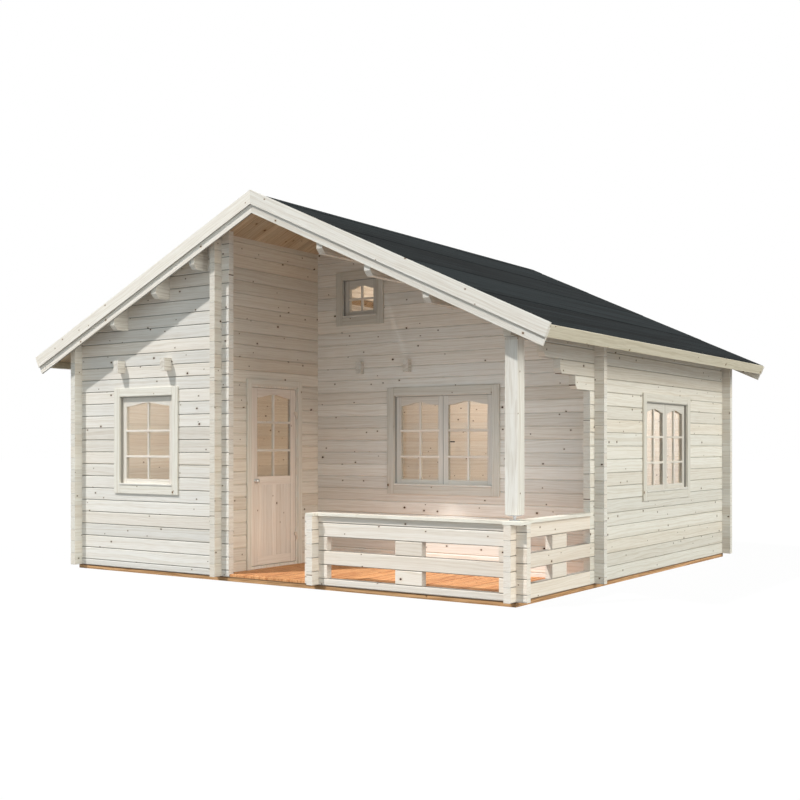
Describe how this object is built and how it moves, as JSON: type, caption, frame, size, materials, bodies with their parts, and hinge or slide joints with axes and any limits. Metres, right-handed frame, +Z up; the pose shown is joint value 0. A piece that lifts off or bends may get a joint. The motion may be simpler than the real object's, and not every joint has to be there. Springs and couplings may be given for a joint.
{
  "type": "log cabin",
  "caption": "Log cabin of pale bevelled logs with notched corners, a recessed corner porch with a log railing and post, cottage-pane windows, a hinged half-glazed door and a gabled felt roof.",
  "frame": {"origin": "on the ground under the middle of the roof's outline", "axes": "+X to the right along the front, +Y to the back, +Z up; the porch front faces -Y"},
  "size_m": [6.504, 5.872, 3.8768],
  "materials": {
    "base_wood": "treated timber",
    "deck_wood": "oiled boards",
    "floor_wood": "planed boards",
    "log_wood": "planed pale softwood logs",
    "beam_wood": "planed pale softwood",
    "roof_wood": "planed roof boards",
    "felt": "matt mineral felt",
    "trim_wood": "planed pale boards",
    "joinery_wood": "sanded pale joinery",
    "pane": "clear flat glass",
    "steel": "zinc-plated steel"
  },
  "bodies": {
    "cabin": {"base_frame": "base_wood", "floor_boards": "floor_wood", "deck": "deck_wood", "front_wall": "log_wood", "porch_wall": "log_wood", "rear_wall": "log_wood", "left_wall": "log_wood", "right_wall": "log_wood", "door_wall_front": "log_wood", "door_wall_rear": "log_wood", "door_wall_over": "log_wood", "roof_beams": "beam_wood", "loft_joists": "beam_wood", "loft_floor": "floor_wood", "roof_boards_left": "roof_wood", "roof_boards_right": "roof_wood", "felt_left": "felt", "felt_right": "felt", "verge_front": "trim_wood", "verge_low_front": "trim_wood", "verge_rear": "trim_wood", "verge_low_rear": "trim_wood", "eave_boards": "trim_wood", "rail_front": "log_wood", "rail_side": "log_wood", "rail_end": "log_wood", "rail_cap": "trim_wood", "post": "beam_wood", "post_foot": "steel", "room_window": "joinery_wood", "room_casing": "trim_wood", "porch_window": "joinery_wood", "porch_casing": "trim_wood", "side_window": "joinery_wood", "side_casing": "trim_wood", "loft_window": "joinery_wood", "loft_casing": "trim_wood", "window_panes": "pane", "door_frame": "joinery_wood", "door_casing": "trim_wood", "hinge_pins": "steel"},
    "door": {"door_leaf": "joinery_wood", "door_pane": "pane", "door_knob": "steel", "hinge_sleeves": "steel"}
  },
  "joints": [
    {"name": "door_hinge", "type": "hinge", "parent": "cabin", "child": "door", "pos_m": [-0.587, -1.513, 1], "axis": [0, 0, 1], "range_deg": [0, 100]}
  ]
}
